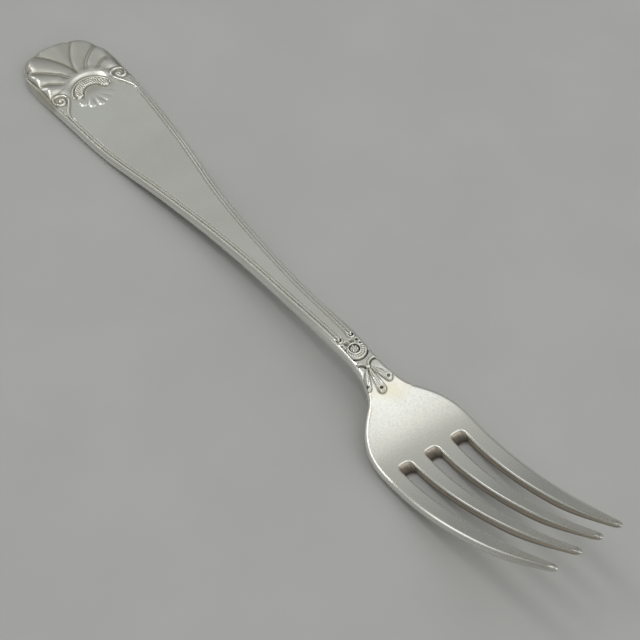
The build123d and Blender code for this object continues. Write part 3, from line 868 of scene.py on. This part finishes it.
# Palmette: a calyx of two bent lines, and three ribbed petals with an eye in the end of each
PALMETTE = np.array([neck_x + 10.1, 0.0])
CALYX = (PALMETTE[0] + 0.75, 2.05)
CALYX_RADIUS = 1.9
CALYX_PIT_RADIUS = 1.5
CALYX_PIT_DEPTH = 0.22
CALYX_PIT_HALF = 0.22
PETAL_HEIGHT = 0.44
PETAL_START_HALF = 0.15
PETAL_ROUND = 0.4
RIB = 0.8  # between the ribs of a petal
RIB_HEIGHT = 0.11
SEAM_GAP = 0.12  # from the edge of a petal to the fine groove round it
SEAM_DEPTH = 0.04
SEAM_HALF = 0.2
EYE_HALF = 0.4
EYE_DEPTH = 1.8  # by the height of the petal
calyx = line(arc(CALYX, CALYX_RADIUS, 165, 262), height=0.44, half_width=0.26)
calyx_pit = CALYX_PIT_DEPTH * ridge(from_spot(CALYX) - CALYX_PIT_RADIUS, CALYX_PIT_HALF)
pits += calyx_pit * (neck_x_grid < CALYX[0])
petals = np.zeros(neck_y.shape)
eyes = np.zeros(neck_y.shape)
for start, end, end_half_width in (
    (PALMETTE, PALMETTE + (5.6, 0.0), 1.05),
    (PALMETTE + (0.1, 0.25), PALMETTE + (4.1, 2.85), 0.98),
):
    way = (end - start) / np.hypot(*(end - start))
    within = leaf(neck_x_grid, aside, start, end, PETAL_START_HALF, end_half_width)
    off_middle = np.abs((neck_x_grid - start[0]) * -way[1] + (aside - start[1]) * way[0])
    ribs = RIB_HEIGHT * np.cos(2 * np.pi * off_middle / RIB)
    petal = (PETAL_HEIGHT + ribs) * dome(within, PETAL_ROUND)
    hollow = ridge(from_spot(end), EYE_HALF)
    petals = np.maximum(petals, petal * (1 - EYE_DEPTH * hollow))
    eyes = np.maximum(eyes, hollow)
    pits += SEAM_DEPTH * ridge(within + SEAM_GAP, SEAM_HALF) * (neck_x_grid > PALMETTE[0] + 1)

# The border ends where the ornament starts, and the ornament stops short of the smooth rim
PIT_TARNISH = 1.1
EYE_TARNISH = 0.3
border_fade = through(neck_x_grid, [(neck_x + 0.5, 1, 0), (neck_x + 1.3, 0, 0)])
rim_width = through(neck_x_grid, [(129.5, 0.45, 0), (133.5, 0.0, 0)])
rim_fade = through(neck_inset - rim_width, [(0.0, 0, 0), (0.3, 1, 0)])
ornament = np.stack([scroll, scroll_ball, curl, flower, ring, band, outer_arc, calyx, petals]).max(0) - pits
neck_relief = border(neck_inset) * border_fade + ornament * (1 - border_fade) * rim_fade
neck_tarnish = through(neck_x_grid, [(PALMETTE[0] + 2, 1.7, 0), (PALMETTE[0] + 4.5, 0.7, 0)])
neck_recess = neck_tarnish * recess_of(neck_relief, ORNAMENT_PASSES)
neck_recess += (PIT_TARNISH * pits + EYE_TARNISH * eyes) * (1 - border_fade) * rim_fade
neck_rise = dish(neck_x_grid, neck_y)
neck = slab(
    "neck_metal",
    neck_x_grid,
    neck_y,
    face(neck_x_grid, neck_inset) + neck_relief + neck_rise,
    back(neck_x_grid, neck_inset) + neck_rise,
    neck_recess,
    joined_rows(neck_x_grid, True, True),
)
neck.data.materials.append(silver)
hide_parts("neck", "neck_scrolls", "neck_rosette", "neck_palmette")
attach(neck, "root")

# Tines: four tapering prongs, left between the slots, filed to blunt points and bent up at the tips.
# Use has bent each of them a little further.
TIP_HALF = 0.8
TIP_ROUND = 1.8
TIP_BLUNT = 0.12  # share of the width that is left at the very tip
TIP_SPREAD = 17.0
TIP_ROWS = 9
CLEAN_ROWS = 4  # at the tip, past the tarnish of the slots
TAPER_PAST = 1.3  # how far past the tips the sides would reach the width of the tips
TINE_ROWS = 90
TIP_BENDS = [(-0.8, 1.0), (0.0, 0.5), (0.1, 0.1), (0.0, 0.4)]  # how far aside each tip stands, and down
DRAW_BACK = 0.65  # how far a tip comes back toward the handle, by how far down it stands
tip_pitch = (TIP_SPREAD - 2 * TIP_HALF) / 3
tine_end = side_stops[-1][0]
tip_rows = tine_end - TIP_ROUND + TIP_ROUND * np.sin(np.linspace(0, np.pi / 2, TIP_ROWS))[1:]
tine_rows = np.concatenate([np.linspace(slot_end_x, tine_end - TIP_ROUND, TINE_ROWS), tip_rows])
tip_share = np.clip((tine_rows - (tine_end - TIP_ROUND)) / TIP_ROUND, 0, 1)
tip_shrink = np.maximum(np.sqrt(1 - tip_share**2), TIP_BLUNT)[:, None]
taper = ((tine_rows - slot_end_x) / (tip_x + TAPER_PAST - slot_end_x))[:, None]
outer_edge = through(tine_rows, edge_stops)[:, None]
for number, (low, high) in enumerate(walls.reshape(4, 2)):
    tip_y = (number - 1.5) * tip_pitch
    low_side = low + taper * (tip_y - TIP_HALF - low)
    high_side = high + taper * (tip_y + TIP_HALF - high)
    if number == 0:
        low_side = -outer_edge
    if number == 3:
        high_side = outer_edge
    lines = (bands[number] - low) / (high - low)
    full_y = low_side + lines * (high_side - low_side)
    tine_middle = (low_side + high_side) / 2
    tine_inset = np.minimum(full_y - low_side, high_side - full_y)
    bend_aside, bend_down = TIP_BENDS[number]
    tine_y = tine_middle + (full_y - tine_middle) * tip_shrink
    tine_x = np.repeat(tine_rows[:, None] - DRAW_BACK * bend_down * taper**2, tine_y.shape[1], 1)
    tine_rise = dish(tine_x, tine_y) - bend_down * taper**2
    tine_y = tine_y + bend_aside * taper**2
    tine_recess = np.zeros(tine_x.shape)
    tine_recess[:-CLEAN_ROWS, 0] = SLOT_MARK * (number > 0)
    tine_recess[:-CLEAN_ROWS, -1] = SLOT_MARK * (number < 3)
    tine_face, tine_back = rounded_faces(tine_x, outer_edge - np.abs(full_y), tine_inset)
    tine = slab(
        f"tine_{number + 1}_metal",
        tine_x,
        tine_y,
        tine_face * tip_shrink + tine_rise,
        tine_back * tip_shrink + tine_rise,
        tine_recess,
        joined_rows(tine_x, True, False),
    )
    tine.data.materials.append(silver)
    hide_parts(f"tine_{number + 1}")
    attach(tine, "root")

# Stage: a plain pale grey table top. All the light comes from the room round it: a dim room, brighter
# overhead, with soft glows of different sizes.
FLOOR_SIZE = 6.0
FLOOR_GREY = (0.50, 0.50, 0.49, 1.0)
FLOOR_SHADE = 0.95  # of the darker clouds
half_floor = FLOOR_SIZE / 2
floor_corners = [(x * half_floor, y * half_floor, 0) for x, y in ((-1, -1), (1, -1), (1, 1), (-1, 1))]
floor_mesh = bpy.data.meshes.new("floor")
floor_mesh.from_pydata(floor_corners, [], [(0, 1, 2, 3)])
floor = bpy.data.objects.new("floor", floor_mesh)
bpy.context.scene.collection.objects.link(floor)
table_top = bpy.data.materials.new("table_top")
table_top.use_nodes = True
floor_shader = table_top.node_tree.nodes["Principled BSDF"]
floor_coordinates = table_top.node_tree.nodes.new("ShaderNodeTexCoord")
floor_place = Socket(table_top.node_tree, floor_coordinates.outputs["Object"])
floor_clouds = floor_place.noise(scale=30.0, detail=4.0).between(0.3, 0.7)
floor_colour = floor_clouds.mix(FLOOR_GREY, tuple(FLOOR_SHADE * c for c in FLOOR_GREY))
floor_colour.feed(floor_shader, "Base Color")
floor_shader.inputs["Roughness"].default_value = 0.7
floor_mesh.materials.append(table_top)

world = bpy.data.worlds.new("studio")
world.use_nodes = True
bpy.context.scene.world = world
background = world.node_tree.nodes["Background"]
room_coordinates = world.node_tree.nodes.new("ShaderNodeTexCoord")
room = Socket(world.node_tree, room_coordinates.outputs["Generated"])


def glow(way, wide, core):
    """1 within a core angle of a direction in the room, 0 past a wide angle, smooth in between."""
    ways = {0: room, 1: Vector(way).normalized()}
    toward = room.node("ShaderNodeVectorMath", {"operation": "DOT_PRODUCT"}, ways, 1)
    angle = toward.math("ARCCOSINE", toward, 0.0)
    return 1 - angle.between(float(np.radians(core)), float(np.radians(wide)))


# Each glow lies over the ones before it: direction, wide angle, core angle, light
ROOM_LOW = (0.25, 0.255, 0.25, 1.0)
ROOM_HIGH = (0.43, 0.435, 0.425, 1.0)
GLOWS = [
    ((0.85, 0.35, 0.4), 70, 25, (0.95, 0.95, 0.94, 1.0)),  # soft fill from beyond the tips
    ((-0.5, -0.55, 0.67), 50, 15, (0.37, 0.37, 0.36, 1.0)),  # dim side at the left of the handle
    ((0.32, 0.42, 0.85), 34, 8, (1.12, 1.125, 1.10, 1.0)),  # key above the far side
    ((-0.36, -0.16, 0.92), 10, 5, (5.5, 5.5, 5.4, 1.0)),  # small lamp nearly overhead
    ((-0.86, -0.12, 0.45), 16, 8, (1.5, 1.5, 1.48, 1.0)),  # behind the handle, low
    ((-0.03, -0.30, 0.95), 17, 6, (1.7, 1.7, 1.67, 1.0)),  # overhead, toward -Y
]
room_light = glow((0.0, 0.0, 1.0), 80, 50).mix(ROOM_LOW, ROOM_HIGH)
for way, wide, core, light in GLOWS:
    room_light = glow(way, wide, core).mix(room_light, light)
room_light.feed(background, "Color")

CAMERA_PLACE = Vector((0.21421, -0.16614, 0.30781))
CAMERA_AIM = Vector((0.01063, 0.00335, 0.0))
CAMERA_ROLL = np.radians(4.2)
CAMERA_LENS = 102.25
camera_data = bpy.data.cameras.new("camera")
camera_data.lens = CAMERA_LENS
camera = bpy.data.objects.new("camera", camera_data)
looking = (CAMERA_AIM - CAMERA_PLACE).to_track_quat("-Z", "Y").to_matrix()
looking = looking @ Matrix.Rotation(CAMERA_ROLL, 3, "Z")
camera.matrix_world = Matrix.Translation(CAMERA_PLACE) @ looking.to_4x4()
bpy.context.scene.collection.objects.link(camera)
bpy.context.scene.camera = camera
bpy.context.scene.view_settings.view_transform = "Standard"
